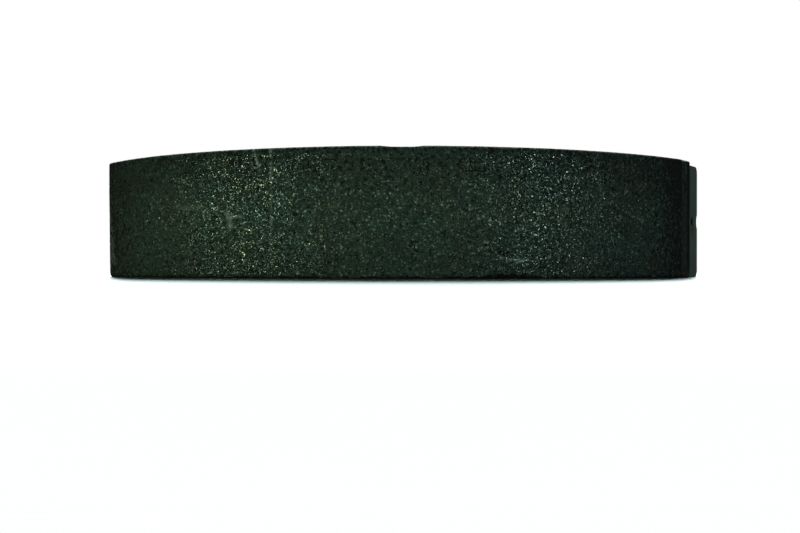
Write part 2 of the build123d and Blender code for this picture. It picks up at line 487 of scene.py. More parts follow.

# %% Friction lining: torn grains
# A grain is torn where its random value passes a threshold. Each share below rises from 0 to 1
# towards the place that it is named for, and lowers the threshold there. More near-black torn grains
# then paint shade towards the ends, the top and the upper part of the anchor end. The bevel has few.
end_reach, bevel_reach = 16 * mm, 17 * mm
to_end = 1 - np.minimum(end_distance, end_reach) / end_reach
to_bevel = np.clip((arc - (bevel_start * drum_radius - bevel_reach)) / (15 * mm), 0, 1)
to_top = np.clip((height - 20 * mm) / (10 * mm), 0, 1)
to_corner = np.clip((arc - 60 * mm) / (25 * mm), 0, 1) * np.clip((height - 12 * mm) / (16 * mm), 0, 1)
# The painted middle light raises the threshold, so fewer black torn grains leave the middle lighter.
threshold = 0.42 + 0.30 * painted_middle_light - 0.62 * to_end - 0.62 * to_bevel
threshold += -0.12 * to_top - 0.35 * to_corner
threshold = np.where(angle > bevel_start, 0.55, threshold)

# All along the lower edge and both ends they are gone, and so they are in the nicks and pits.
# There the black torn faces are partly broken resin and partly painted shade.
broken_and_shaded_height = lower_arris - 0.55 * arris + 0.22 * uneven(arc, height * 0, 0.6 * mm, 9) * mm
broken_and_shaded_end = np.where(arc > 0, 2.0 + 1.1 * ragged, 0.3 + 0.3 * ragged) * mm
torn_and_shaded = uneven(arc, height, 0.55 * mm, 10) > threshold + 1.5 * rubbed
torn_and_shaded |= (height < broken_and_shaded_height) | (end_distance < broken_and_shaded_end)
torn_and_shaded |= (nick > 0.5) | (pits > 0.035 * mm)
print("share of the face that is torn:", round(float(torn_and_shaded.mean()), 3))

# %% Friction lining: the closed piece
face_height = face_radius - face_skin + rolling + grain - pits - edge_cut - cut_depth
face_points = on_shoe(face_height, angle, height)
back_points = on_shoe(table_outer_radius, angle[:, [0, -1]], height[:, [0, -1]])
points = np.concatenate([face_points.reshape(-1, 3), back_points.reshape(-1, 3)])
face_index = np.arange(stations * rows).reshape(stations, rows)
back_index = stations * rows + np.arange(stations * 2).reshape(stations, 2)
faces = quads(face_index) + quads(back_index[:, ::-1])
faces += quads(np.stack([back_index[:, 0], face_index[:, 0]], axis=1))
faces += quads(np.stack([face_index[:, -1], back_index[:, 1]], axis=1))
faces.append((*face_index[0], back_index[0, 1], back_index[0, 0]))
faces.append((*face_index[-1][::-1], back_index[-1, 0], back_index[-1, 1]))
lining = piece_from("ground_lining", points, faces)
for name, values in (("rubbed", rubbed), ("painted_middle_light", painted_middle_light), ("stained", stained)):
    values = np.concatenate([values.ravel(), np.zeros(stations * 2)]).astype(np.float32)
    lining.data.attributes.new(name, "FLOAT", "POINT").data.foreach_set("value", values)
torn_and_shaded_faces = np.flatnonzero(torn_and_shaded[:-1, :-1]).tolist()
for k in torn_and_shaded_faces:
    lining.data.polygons[k].material_index = 1
print("ground_lining:", len(lining.data.polygons), "faces,", len(torn_and_shaded_faces), "of them torn")

# %% [markdown]
# ## Rolled table
#
# The table is a strip of 2 mm steel, blanked, then rolled to the shoe's curve. Its edges are sheared,
# so one side of each is rolled over and the other is crisp. It is made as the lining is: a height
# field over its arc and width, whose ends follow the strip's rounded corners and small scallops.

# %% Rolled table: where its points lie
corner_radius = 2.0 * mm
scallop_width, scallop_depth = 4.0 * mm, 1.0 * mm
mark_radius, mark_depth, mark_setback = 1.5 * mm, 0.6 * mm, 5.3 * mm
edge_roll, end_roll = 0.15 * mm, 0.04 * mm
strip_half = half_table * table_outer_radius

# Points lie closer together near the ends, in the rounded edges and across the weld marks.
end_zone, mark_zone = 9 * mm, 2.6 * mm
along_middle = np.linspace(-(strip_half - end_zone), strip_half - end_zone, 260)
along_end = np.linspace(strip_half - end_zone, strip_half, 40)[1:]
along = np.concatenate([-along_end[::-1], along_middle, along_end])
rounding = corner_radius * (1 - np.cos(np.linspace(0, math.pi / 2, 12)))
beside_mark = np.linspace(corner_radius, mid_width - mark_zone, 9)[1:]
over_mark = np.linspace(mid_width - mark_zone, mid_width, 12)[1:]
half_across = np.concatenate([rounding, beside_mark, over_mark])
across = np.concatenate([half_across, shoe_width - half_across[-2::-1]])


def round_cut(width, depth, off):
    """How deep a round-bottomed cut of this width and depth is, this far off its middle."""
    radius = (width**2 / 4 + depth**2) / (2 * depth)
    return np.clip(np.sqrt(np.clip(radius**2 - off**2, 0, None)) - (radius - depth), 0, None)


# Each row of the strip ends where its corner rounding or scallop lets it.
into_corner = np.clip(corner_radius - np.minimum(across, shoe_width - across), 0, corner_radius)
corner_cut = corner_radius - np.sqrt(corner_radius**2 - into_corner**2)
scallop_cut = round_cut(scallop_width, scallop_depth, np.abs(across - mid_width))
row_half = strip_half - np.maximum(corner_cut, scallop_cut)
in_end_zone = np.clip((np.abs(along) - (strip_half - end_zone)) / end_zone, 0, 1)[:, None]
strip_along = along[:, None] * np.ones_like(across)[None, :]
strip_along = strip_along - np.sign(strip_along) * in_end_zone * (strip_half - row_half)[None, :]
strip_across = np.broadcast_to(across, strip_along.shape)
print("table:", len(along), "x", len(across), "points")

# %% Rolled table: edges and weld marks
edge_gap = np.minimum(strip_across, shoe_width - strip_across)
end_gap = row_half[None, :] - np.abs(strip_along)
in_roll = np.clip(edge_roll - edge_gap, 0, None)
rolled_over = edge_roll - np.sqrt(np.clip(edge_roll**2 - in_roll**2, 0, None))
rolled_over = np.maximum(rolled_over, np.clip(end_roll - end_gap, 0, None))

from_mark = np.hypot(np.abs(strip_along) - (strip_half - mark_setback), strip_across - mid_width)
mark = round_cut(2 * mark_radius, mark_depth, from_mark)
steel_roll = uneven(strip_along, strip_across, 3.0 * mm, 21) * 0.012 * mm
outer_drop = rolled_over + mark + 0.02 * mm + np.abs(steel_roll) * 0.5
inner_rise = np.clip(end_roll - np.minimum(edge_gap, end_gap), 0, None)
print("deepest weld mark, mm:", round(mark.max() / mm, 2))

# %% Rolled table: the closed piece
strip_angle = strip_along / table_outer_radius
outer_points = on_shoe(table_outer_radius - outer_drop, strip_angle, strip_across)
inner_points = on_shoe(table_inner_radius + inner_rise, strip_angle, strip_across)
strip_points = np.concatenate([outer_points.reshape(-1, 3), inner_points.reshape(-1, 3)])
outer_index = np.arange(strip_along.size).reshape(strip_along.shape)
inner_index = outer_index + strip_along.size
strip_faces = quads(outer_index) + quads(inner_index[:, ::-1])
for k in (0, -1):
    strip_faces += quads(np.stack([outer_index[:, k], inner_index[:, k]], axis=1))
    strip_faces += quads(np.stack([outer_index[k], inner_index[k]], axis=1))
table = piece_from("rolled_table", strip_points, strip_faces)
print("rolled_table:", len(table.data.polygons), "faces")

# %% [markdown]
# ### Rust and painted shade on the table
#
# The bare end of the table has started to rust where the lining ends, at the foot, and a little
# below the weld mark. As on the lining, a point attribute says where, and the material stains it.
# The bottom of the weld mark is painted near-black as the shade inside the dimple, and its faces get a second
# material.

# %% Rolled table: rust and painted shade in the weld mark
beyond_lining = strip_along - half_lining * table_outer_radius
rust = np.exp(-((beyond_lining / (4.5 * mm)) ** 2) - (strip_across / (1.9 * mm)) ** 2)
off_mark = np.abs(strip_along) - (strip_half - mark_setback)
below_mark = strip_across - (mid_width - 2.4 * mm)
rust += 0.5 * np.exp(-((off_mark / (1.6 * mm)) ** 2) - (below_mark / (1.5 * mm)) ** 2)
rust = np.clip(1.4 * rust, 0, 1)
rust_values = np.concatenate([rust.ravel(), np.zeros(rust.size)]).astype(np.float32)
table.data.attributes.new("stained", "FLOAT", "POINT").data.foreach_set("value", rust_values)

shaded_dimple_radius = 1.35 * mm
shaded_dimple_point = np.append(from_mark.ravel() < shaded_dimple_radius, np.zeros(from_mark.size, bool))
for polygon in table.data.polygons:
    polygon.material_index = int(all(shaded_dimple_point[k] for k in polygon.vertices))
print("scorched faces:", sum(polygon.material_index for polygon in table.data.polygons))

# %% [markdown]
# ## Stamped web
#
# The web is blanked from 4 mm plate in one stroke, so all of its outline and holes show the marks of
# shearing: a rolled-over edge where the punch went in, a burnished band, then a rougher band that
# tapers to a small burr. A bevel modifier would give every edge the same round, so the web is drawn
# as closed loops, and each loop is carried down one edge profile. All of them come from the CAD sizes.

# %% Stamped web: sizes
web_depth = 26.0 * mm
web_end_setback = 2.5 * mm
toe_step, toe_width, toe_corner = 2.0 * mm, 16.0 * mm, 3.0 * mm
land_count, land_length, weld_gap = 9, 7.0 * mm, 0.4 * mm
hold_down_hole, hold_down_inset = 4.5 * mm, 12.0 * mm
spring_hole, spring_inset = 2.75 * mm, 10.0 * mm
return_spring_angle, adjuster_spring_angle = math.radians(66), math.radians(-36)
notch_width, notch_corner, notch_land = 8.0 * mm, 1.5 * mm, 14.5 * mm
notch_angle = math.radians(-52.5)

toe_radius = table_inner_radius - toe_step
half_weld = half_table - web_end_setback / table_inner_radius
land_angle = land_length / table_inner_radius
land_pitch = (2 * half_weld - land_angle) / (land_count - 1)
heel_x = math.sqrt(toe_radius**2 - toe_drop**2) - toe_width


def arc_points(centre, radius, start, end, step=0.6 * mm):
    """Points along an arc. Its angles are radians from +X."""
    count = max(3, int(abs(end - start) * radius / step) + 1)
    turns = np.linspace(start, end, count)
    return np.stack([centre[0] + radius * np.cos(turns), centre[1] + radius * np.sin(turns)], axis=1)


def shoe_arc(radius, start, end):
    """The same about the drum's axis, between two of the shoe's own angles."""
    return arc_points((0, 0), radius, start - math.pi / 2, end - math.pi / 2)


print("web spans, degrees:", round(2 * math.degrees(half_weld), 1))

# %% Stamped web: outer edge and toes
# Lands that touch the table, with a narrow gap between each two.
outline = []
for land in range(land_count):
    start = land * land_pitch - half_weld
    outline.append(shoe_arc(table_inner_radius, start, start + land_angle))
    if land < land_count - 1:
        outline.append(shoe_arc(table_inner_radius - weld_gap, start + land_angle, start + land_pitch))

# The inner edge is the circle through both heels and the deepest point.
inner_low = web_depth - table_inner_radius
inner_centre = (heel_x**2 + toe_drop**2 - inner_low**2) / (2 * (-toe_drop - inner_low))
inner_radius = inner_centre - inner_low

# Both corners of a toe are arcs tangent to its flat end face, one to the toe's own circle and the
# other to the inner edge.
corner_y = -toe_drop - toe_corner
tip_x = math.sqrt((toe_radius - toe_corner) ** 2 - corner_y**2)
rounded_heel_x = math.sqrt((inner_radius + toe_corner) ** 2 - (inner_centre - corner_y) ** 2)
tip_turn = math.atan2(corner_y, tip_x)
heel_turn = math.atan2(inner_centre - corner_y, -rounded_heel_x)
heel_end_x = rounded_heel_x * inner_radius / (inner_radius + toe_corner)
toe = np.concatenate(
    [
        shoe_arc(toe_radius, half_weld, tip_turn + math.pi / 2)[:-1],
        arc_points((tip_x, corner_y), toe_corner, tip_turn, math.pi / 2),
        arc_points((rounded_heel_x, corner_y), toe_corner, math.pi / 2, heel_turn),
    ]
)
outline.append(toe)
print("toe's end face, mm:", round((tip_x - rounded_heel_x) / mm, 1), "between its rounded corners")


# %% Stamped web: inner edge and strut notch
def inner_edge(start_x, end_x):
    """Points of the inner edge between two places across the shoe, the ends left out."""
    turns = [math.asin(x / inner_radius) for x in (start_x, end_x)]
    turns = np.linspace(*turns, max(3, int(abs(turns[1] - turns[0]) * inner_radius / (0.6 * mm))))[1:-1]
    return np.stack([inner_radius * np.sin(turns), inner_centre - inner_radius * np.cos(turns)], axis=1)


def notch_point(radius, sideways):
    """A point of the strut notch: its distance from the drum's axis and from its own middle."""
    sine, cosine = math.sin(notch_angle), math.cos(notch_angle)
    return np.array([radius * sine + sideways * cosine, sideways * sine - radius * cosine])


def notch_mouth(sideways):
    """Where a side of the notch, followed towards the drum's axis, meets the inner edge."""
    axis = notch_point(1, 0)
    side = notch_point(0, sideways) - np.array([0, inner_centre])
    along_axis = side @ axis
    radius = math.sqrt(along_axis**2 - side @ side + inner_radius**2) - along_axis
    return notch_point(radius, sideways)


half_notch = notch_width / 2
mouth_right, mouth_left = notch_mouth(half_notch), notch_mouth(-half_notch)
bend = table_inner_radius - notch_land - notch_corner
floor_turn = notch_angle - math.pi / 2
outline.append(inner_edge(heel_end_x, mouth_right[0]))
outline.append([mouth_right])
for side in (1, -1):
    bend_centre = notch_point(bend, side * (half_notch - notch_corner))
    bend_from, bend_to = (math.pi / 2, 0) if side > 0 else (0, -math.pi / 2)
    bend_to, bend_from = floor_turn + bend_to, floor_turn + bend_from
    outline.append(arc_points(bend_centre, notch_corner, bend_from, bend_to, 0.3 * mm))
outline.append([mouth_left])
outline.append(inner_edge(mouth_left[0], -heel_end_x))
outline.append(toe[::-1] * np.array([-1, 1]))
loops = [np.concatenate(outline)]
print("web outline:", len(loops[0]), "points")

# %% Stamped web: holes
# They run the other way round, so that the same edge profile opens them.
holes = [(table_inner_radius - hold_down_inset, 0.0, hold_down_hole)]
for a in (-return_spring_angle, adjuster_spring_angle, return_spring_angle):
    holes.append((table_inner_radius - spring_inset, a, spring_hole))
for radius, a, hole in holes:
    centre = (radius * math.sin(a), -radius * math.cos(a))
    loops.append(arc_points(centre, hole, 2 * math.pi, 0, 0.45 * mm)[:-1])
print("web loops:", [len(loop) for loop in loops])


# %% Stamped web: blank
def inset(loop, by):
    """A closed loop moved inwards by a distance, with its corners kept sharp."""
    ahead = np.roll(loop, -1, axis=0) - loop
    ahead /= np.linalg.norm(ahead, axis=1)[:, None]
    inward = np.stack([-ahead[:, 1], ahead[:, 0]], axis=1)
    both = inward + np.roll(inward, 1, axis=0)
    return loop + by * both * 2 / np.sum(both * both, axis=1)[:, None]


# Height down the wall as a share of the thickness, and how far the wall stands back there, in mm:
# the rolled-over edge, the burnished band, and the rough band down to the far edge.
edge_profile = ((0.0, 0.30), (0.02, 0.15), (0.06, 0.04), (0.12, 0.0))
edge_profile += ((0.40, 0.0), (0.45, 0.05), (0.97, 0.12), (1.0, 0.16))
web_points, web_faces = [], []
rings = []
for loop in loops:
    ring = []
    for depth_share, back in edge_profile:
        flat = inset(loop, back * mm)
        z = mid_width + web_thickness * (0.5 - depth_share)
        ring.append(np.arange(len(loop)) + sum(len(p) for p in web_points))
        web_points.append(np.column_stack([flat[:, 0], flat[:, 1] + drum_axis_y, np.full(len(loop), z)]))
    for upper, lower in zip(ring, ring[1:]):
        for i in range(len(loop)):
            j = (i + 1) % len(loop)
            web_faces.append((upper[i], upper[j], lower[j], lower[i]))
    rings.append(ring)
web_points = np.concatenate(web_points)
for level in (0, -1):
    ends = np.concatenate([ring[level] for ring in rings])
    drawn = [[Vector((*web_points[k][:2], 0)) for k in ring[level]] for ring in rings]
    web_faces += [tuple(ends[k] for k in face) for face in tessellate_polygon(drawn)]
web = piece_from("stamped_web", web_points, web_faces, math.radians(28))
print("stamped_web:", len(web.data.polygons), "faces")

# %% [markdown]
# ## Friction composition
#
# The mix is resin, fibre and mineral powder, pressed hot and ground. It is almost black, hardly
# shiny, and full of grains of several greys. A single noise would look like stone, so each grain is
# a cell of a Voronoi texture with a colour of its own. Slower noises shade the grains in clumps and
# blotches. The point attributes bring in what rubbing and rust have done, and a painted shade
# that darkens the top, the bottom and the ends of the face.


# %% Friction composition: grains
def new_material(name, values):
    """A material with nothing but its Principled shader, whose inputs are set to these values."""
    made = bpy.data.materials.new(name)
    made.use_nodes = True
    shader = made.node_tree.nodes["Principled BSDF"]
    for key, value in values.items():
        shader.inputs[key].default_value = value
    return made, made.node_tree, shader


# Ground friction composition gives the eye a dry, dark, speckled face with a faint green tint.
# Most real grains are near 0.1 mm, too fine to show, so they are drawn as coarse as they need to be.
composition, tree, shader = new_material(
    "ground_friction_composition", {"Specular IOR Level": 0.40, "Specular Tint": (0.62, 1.0, 0.76, 1)}
)
coords = add(tree, "ShaderNodeTexCoord").outputs["Object"]
grain_size = 0.36 * mm
cells = add(tree, "ShaderNodeTexVoronoi", {"Vector": coords, "Scale": 1 / grain_size, "Randomness": 1.0})
grain_value = add(tree, "ShaderNodeSeparateXYZ", {0: cells.outputs["Color"]})
grain_shades = ((0.0, "#040604"), (0.35, "#0B110D"), (0.70, "#18241B"))
grain_shades += ((0.88, "#2A3B2F"), (0.96, "#485D4C"), (1.0, "#7C927E"))
grain_colours = add(
    tree,
    "ShaderNodeValToRGB",
    {"Fac": grain_value.outputs["X"]},
    stops=[(position, linear(colour)) for position, colour in grain_shades],
)

# Fine crumbs within a grain, clumps of grains, and broad blotches: each swings the brightness.
fine = add(tree, "ShaderNodeTexNoise", {"Vector": coords, "Scale": 1 / (0.30 * mm), "Detail": 3.0})
clump = add(tree, "ShaderNodeTexNoise", {"Vector": coords, "Scale": 1 / (1.6 * mm), "Detail": 2.0})
blotch = add(tree, "ShaderNodeTexNoise", {"Vector": coords, "Scale": 1 / (7 * mm), "Detail": 2.0})
# Painted shade: towards the top, the bottom and the ends the colour drops to 0.3 of the middle.
middle_light_attribute = add(tree, "ShaderNodeAttribute", attribute_name="painted_middle_light")
painted_rim_shade = add(
    tree, "ShaderNodeMapRange", {"Value": middle_light_attribute.outputs["Fac"], "To Min": 0.30, "To Max": 1.0}
)
brightness = painted_rim_shade.outputs[0]
for noise, swing in ((fine, 0.35), (blotch, 0.15), (clump, 0.20)):
    span = {"From Min": 0.3, "From Max": 0.7, "To Min": 1 - swing, "To Max": 1 + swing}
    factor = add(tree, "ShaderNodeMapRange", {"Value": noise.outputs["Fac"], **span})
    product = add(tree, "ShaderNodeMath", {0: brightness, 1: factor.outputs[0]}, operation="MULTIPLY")
    brightness = product.outputs[0]
print("grain shades:", [colour for _, colour in grain_shades])

# %% Friction composition: colour
# The hue drifts from warm to cool; these two are factors for red, green and blue, not colours.
warmer, cooler = (1.35, 0.95, 0.85, 1), (0.88, 1.0, 1.10, 1)
hue_drift = add(tree, "ShaderNodeTexNoise", {"Vector": coords, "Scale": 1 / (11 * mm), "Detail": 3.0})
drifted = add(
    tree,
    "ShaderNodeValToRGB",
    {"Fac": hue_drift.outputs["Fac"]},
    stops=((0.35, warmer), (0.62, cooler)),
)
tinted = add(
    tree,
    "ShaderNodeVectorMath",
    {0: grain_colours.outputs["Color"], 1: drifted.outputs["Color"]},
    operation="MULTIPLY",
)
body_colour = add(
    tree, "ShaderNodeVectorMath", {0: tinted.outputs[0], "Scale": brightness}, operation="SCALE"
)

# Rubbed places are dusty and lighter, stained ones rusty.
rub = add(tree, "ShaderNodeAttribute", attribute_name="rubbed")
rub_share = add(
    tree, "ShaderNodeMath", {0: rub.outputs["Fac"], 1: 0.85}, operation="MULTIPLY", use_clamp=True
)
stain = add(tree, "ShaderNodeAttribute", attribute_name="stained")
colour = body_colour.outputs[0]
for share, mixed_in in ((rub_share.outputs[0], "#6E786C"), (stain.outputs["Fac"], "#3A2A1E")):
    mixed = add(tree, "ShaderNodeMix", {"Factor": share, 6: colour, 7: linear(mixed_in)}, data_type="RGBA")
    colour = mixed.outputs[2]
tree.links.new(colour, shader.inputs["Base Color"])
print(composition.name + ":", len(tree.nodes), "nodes so far")

# %% Friction composition: gloss and bumps
# A ground grain is a little shinier than the crumbs between, and some clumps more than others.
rough = add(tree, "ShaderNodeMapRange", {"Value": grain_value.outputs["Y"], "To Min": 0.30, "To Max": 0.54})
clump_rough = add(
    tree,
    "ShaderNodeMapRange",
    {"Value": clump.outputs["Fac"], "From Min": 0.3, "From Max": 0.7, "To Min": 0.06, "To Max": -0.06},
)
all_rough = add(tree, "ShaderNodeMath", {0: rough.outputs[0], 1: clump_rough.outputs[0]}, use_clamp=True)
tree.links.new(all_rough.outputs[0], shader.inputs["Roughness"])
normal = None
for bumpy, deep in ((fine.outputs["Fac"], 0.24 * mm), (cells.outputs["Distance"], 0.26 * mm)):
    bump = add(tree, "ShaderNodeBump", {"Height": bumpy, "Strength": 1.0, "Distance": deep})
    if normal:
        tree.links.new(normal, bump.inputs["Normal"])
    normal = bump.outputs[0]
tree.links.new(normal, shader.inputs["Normal"])
lining.data.materials.append(composition)
print(composition.name + ":", len(tree.nodes), "nodes")

# %% [markdown]
# ### Torn composition and painted shade
#
# Where a grain has torn out, the resin under it is broken, not ground. It scatters almost nothing
# back. A darker, rougher material on those faces keeps the hollows black under every lamp, which
# the geometry alone is too coarse to do, so it is partly broken resin and partly painted shade. Rust
# shows on it as well.

# %% Torn composition and painted shade
# Torn friction composition gives the eye the dark, crumbly hollows and edges of the lining, with the shade in
# them painted near-black.
torn_resin_and_shade, tree, shader = new_material(
    "torn_composition_and_painted_shade", {"Roughness": 0.85, "Specular IOR Level": 0.12}
)
coords = add(tree, "ShaderNodeTexCoord").outputs["Object"]
crumbs = add(tree, "ShaderNodeTexNoise", {"Vector": coords, "Scale": 1 / (0.4 * mm), "Detail": 2.0})
crumb_colours = add(
    tree,
    "ShaderNodeValToRGB",
    {"Fac": crumbs.outputs["Fac"]},
    stops=((0.35, linear("#060605")), (0.70, linear("#181A15"))),
)
stain = add(tree, "ShaderNodeAttribute", attribute_name="stained")
rusty_crumbs = add(
    tree,
    "ShaderNodeMix",
    {"Factor": stain.outputs["Fac"], 6: crumb_colours.outputs["Color"], 7: linear("#4A2F1E")},
    data_type="RGBA",
)
tree.links.new(rusty_crumbs.outputs[2], shader.inputs["Base Color"])
crumbled = add(
    tree, "ShaderNodeBump", {"Height": crumbs.outputs["Fac"], "Strength": 1.0, "Distance": 0.2 * mm}
)
tree.links.new(crumbled.outputs[0], shader.inputs["Normal"])
lining.data.materials.append(torn_resin_and_shade)
print("lining materials:", [material.name for material in lining.data.materials])

# %% [markdown]
# ## Metal flecks
#
# The mix holds brass chips and steel fibre, which carry heat away from the face. Grinding cuts each
# one flat, nearly in the plane of the face, so it flashes only where a lamp stands in the right
# place. Each fleck is a tiny five-sided wedge with its flat side outwards, scattered over a coarse
# copy of the face. Geometry Nodes do this in one go, and one tree serves both metals, with inputs of
# its own for each. Real flecks run down to dust, and only those from about 0.1 mm up are made,
# because finer ones wouldn't show.


# %% Metal flecks: materials
# Ground brass chips give the eye warm, larger glints, and ground steel fibre the finer grey ones.
brass_chip, _, _ = new_material(
    "ground_brass_chip", {"Base Color": linear("#868870"), "Metallic": 1.0, "Roughness": 0.30}
)
steel_fibre, _, _ = new_material(
    "ground_steel_fibre", {"Base Color": linear("#66726C"), "Metallic": 1.0, "Roughness": 0.34}
)
print("flecks of:", brass_chip.name, "and", steel_fibre.name)

# %% Metal flecks: the bed
# Every third point of the face is enough, and the very edges are left out.
coarse = (slice(4, -4, 3), slice(3, -2, 3))
bed_radius = face_radius - face_skin + rolling - edge_cut
bed_points = on_shoe(bed_radius[coarse], angle[coarse], height[coarse])
bed_index = np.arange(angle[coarse].size).reshape(angle[coarse].shape)
bed_mesh = bpy.data.meshes.new("fleck_bed")
bed_mesh.from_pydata(bed_points.reshape(-1, 3).tolist(), [], quads(bed_index))
print("fleck bed:", len(bed_mesh.polygons), "faces")


# %% Metal flecks: node tree
def new_group(name, inputs):
    """A Geometry Nodes tree with named inputs and one output, and the outputs of its input node."""
    group = bpy.data.node_groups.new(name, "GeometryNodeTree")
    for label, kind, value in inputs:
        socket = group.interface.new_socket(label, in_out="INPUT", socket_type="NodeSocket" + kind)
        if value is not None:
            socket.default_value = value
    group.interface.new_socket("Geometry", in_out="OUTPUT", socket_type="NodeSocketGeometry")
    return group, add(group, "NodeGroupInput").outputs


def end_group(group, instances, material):
    """Makes the instances real, gives them the material and hands them out."""
    real = add(group, "GeometryNodeRealizeInstances", {0: instances})
    dressed = add(group, "GeometryNodeSetMaterial", {"Geometry": real.outputs[0], "Material": material})
    add(group, "NodeGroupOutput", {"Geometry": dressed.outputs[0]})


fleck_inputs = (
    ("Geometry", "Geometry", None),
    ("Density", "Float", 0.6e6),
    ("Seed", "Int", 1),
    ("Smallest", "Float", 0.05 * mm),
    ("Largest", "Float", 0.14 * mm),
    ("Tilt", "Float", math.radians(17)),
    ("Material", "Material", None),
)
scatter, given = new_group("scatter_flecks", fleck_inputs)
spread = add(
    scatter,
    "GeometryNodeDistributePointsOnFaces",
    {"Mesh": given["Geometry"], "Density": given["Density"], "Seed": given["Seed"]},
    distribute_method="RANDOM",
)
wedge = add(
    scatter,
    "GeometryNodeMeshCone",
    {"Vertices": 5, "Radius Top": 1.0, "Radius Bottom": 0.0, "Depth": 0.8},
    fill_type="NGON",
)
sunk = add(
    scatter, "GeometryNodeTransform", {"Geometry": wedge.outputs["Mesh"], "Translation": (0, 0, -0.80)}
)
print("faces of one fleck:", wedge.inputs["Vertices"].default_value + 1)

# %% Metal flecks: how each one lies
radius = add(
    scatter,
    "FunctionNodeRandomValue",
    {2: given["Smallest"], 3: given["Largest"], "Seed": given["Seed"]},
    data_type="FLOAT",
)
stretch = add(
    scatter,
    "FunctionNodeRandomValue",
    {0: (0.6, 0.6, 1), 1: (1.5, 1.0, 1), "Seed": 5},
    data_type="FLOAT_VECTOR",
)
size = add(
    scatter, "ShaderNodeVectorMath", {0: stretch.outputs[0], "Scale": radius.outputs[1]}, operation="SCALE"
)

# Any turn about its own axis, and a small tilt that is nearer to flat for most flecks.
tilt_limit = add(scatter, "ShaderNodeCombineXYZ", {0: given["Tilt"], 1: given["Tilt"], 2: math.pi})
other_limit = add(
    scatter, "ShaderNodeVectorMath", {0: tilt_limit.outputs[0], "Scale": -1.0}, operation="SCALE"
)
tilt = add(
    scatter,
    "FunctionNodeRandomValue",
    {0: other_limit.outputs[0], 1: tilt_limit.outputs[0], "Seed": 9},
    data_type="FLOAT_VECTOR",
)
nearly_flat = add(scatter, "FunctionNodeRandomValue", {2: 0.0, 3: 1.0, "Seed": 21}, data_type="FLOAT")
tilt = add(
    scatter, "ShaderNodeVectorMath", {0: tilt.outputs[0], "Scale": nearly_flat.outputs[1]}, operation="SCALE"
)
placed = add(
    scatter,
    "GeometryNodeInstanceOnPoints",
    {
        "Points": spread.outputs["Points"],
        "Instance": sunk.outputs[0],
        "Rotation": spread.outputs["Rotation"],
        "Scale": size.outputs[0],
    },
)
tilted = add(
    scatter,
    "GeometryNodeRotateInstances",
    {"Instances": placed.outputs[0], "Rotation": tilt.outputs[0], "Local Space": True},
)
end_group(scatter, tilted.outputs[0], given["Material"])
print(scatter.name + ":", [label for label, _, _ in fleck_inputs])


# %% Metal flecks: scattering
def run_nodes(name, mesh, group, **values):
    """A plain mesh object that a node tree makes from a mesh, with its inputs set by name."""
    made = bpy.data.objects.new(name, mesh.copy())
    bpy.context.scene.collection.objects.link(made)
    modifier = made.modifiers.new("nodes", "NODES")
    modifier.node_group = group
    sockets = {item.name: item.identifier for item in group.interface.items_tree if item.in_out == "INPUT"}
    for key, value in values.items():
        modifier[sockets[key]] = value
    bpy.context.view_layer.update()
    plain = bpy.data.meshes.new_from_object(made.evaluated_get(bpy.context.evaluated_depsgraph_get()))
    made.modifiers.remove(modifier)
    made.data = plain
    print(name + ":", len(plain.polygons), "faces")
    return made


brass_flecks = run_nodes(
    "brass_flecks", bed_mesh, scatter, Density=0.9e6, Seed=3, Largest=0.14 * mm, Material=brass_chip
)
steel_flecks = run_nodes(
    "steel_flecks", bed_mesh, scatter, Density=3.0e6, Seed=14, Largest=0.11 * mm, Material=steel_fibre
)

# %% [markdown]
# ## Primed steel
#
# Table and web are dipped together in a thin primer and baked, so one material serves both. The
# film is a little thicker in some places than in others, and has the fine unevenness that painters
# call orange peel. Two noises are enough for it. Only the weld mark gets a near-black painted shade.

# %% Primed steel
# Dipped primer gives the eye a dull, dark green-grey film that is soft in its highlights. Its
# orange peel of 0.6 mm is drawn about twice as coarse as it is, or it wouldn't show.
primed, tree, shader = new_material("dipped_green_grey_primer", {"Specular IOR Level": 0.35})
coords = add(tree, "ShaderNodeTexCoord").outputs["Object"]
film = add(tree, "ShaderNodeTexNoise", {"Vector": coords, "Scale": 1 / (14 * mm), "Detail": 1.0})
orange_peel = add(tree, "ShaderNodeTexNoise", {"Vector": coords, "Scale": 1 / (0.6 * mm), "Detail": 2.0})
film_colours = add(
    tree,
    "ShaderNodeValToRGB",
    {"Fac": film.outputs["Fac"]},
    stops=((0.25, linear("#38433A")), (0.75, linear("#455043"))),
)
stain = add(tree, "ShaderNodeAttribute", attribute_name="stained")
stained_film = add(
    tree,
    "ShaderNodeMix",
    {"Factor": stain.outputs["Fac"], 6: film_colours.outputs["Color"], 7: linear("#3A2A1E")},
    data_type="RGBA",
)
tree.links.new(stained_film.outputs[2], shader.inputs["Base Color"])
gloss = add(tree, "ShaderNodeMapRange", {"Value": orange_peel.outputs["Fac"], "To Min": 0.48, "To Max": 0.62})
tree.links.new(gloss.outputs[0], shader.inputs["Roughness"])
peel = add(
    tree, "ShaderNodeBump", {"Height": orange_peel.outputs["Fac"], "Strength": 0.3, "Distance": 0.05 * mm}
)
tree.links.new(peel.outputs[0], shader.inputs["Normal"])
print(primed.name + ":", len(tree.nodes), "nodes")

# %% Painted shade in the weld mark
# Near-black painted shade gives the eye the dark inside of the weld dimple, which no lamp lights up.
weld_dimple_shade, _, _ = new_material(
    "painted_shade_in_weld_mark",
    {"Base Color": linear("#0B0D08"), "Roughness": 0.85, "Specular IOR Level": 0.10},
)
table.data.materials.append(primed)
table.data.materials.append(weld_dimple_shade)
web.data.materials.append(primed)
print("table materials:", [material.name for material in table.data.materials])

# %% [markdown]
# ## Weld flash and adhesive
#
# The web's nine projections melt into the table when current is sent through them, and push out a
# row of small beads along both sides of each land. The adhesive under the lining is squeezed out in
# the same way where the lining ends, and bakes to a hard brown-black bead. One node tree lays
# uneven beads along any lines that it is given.

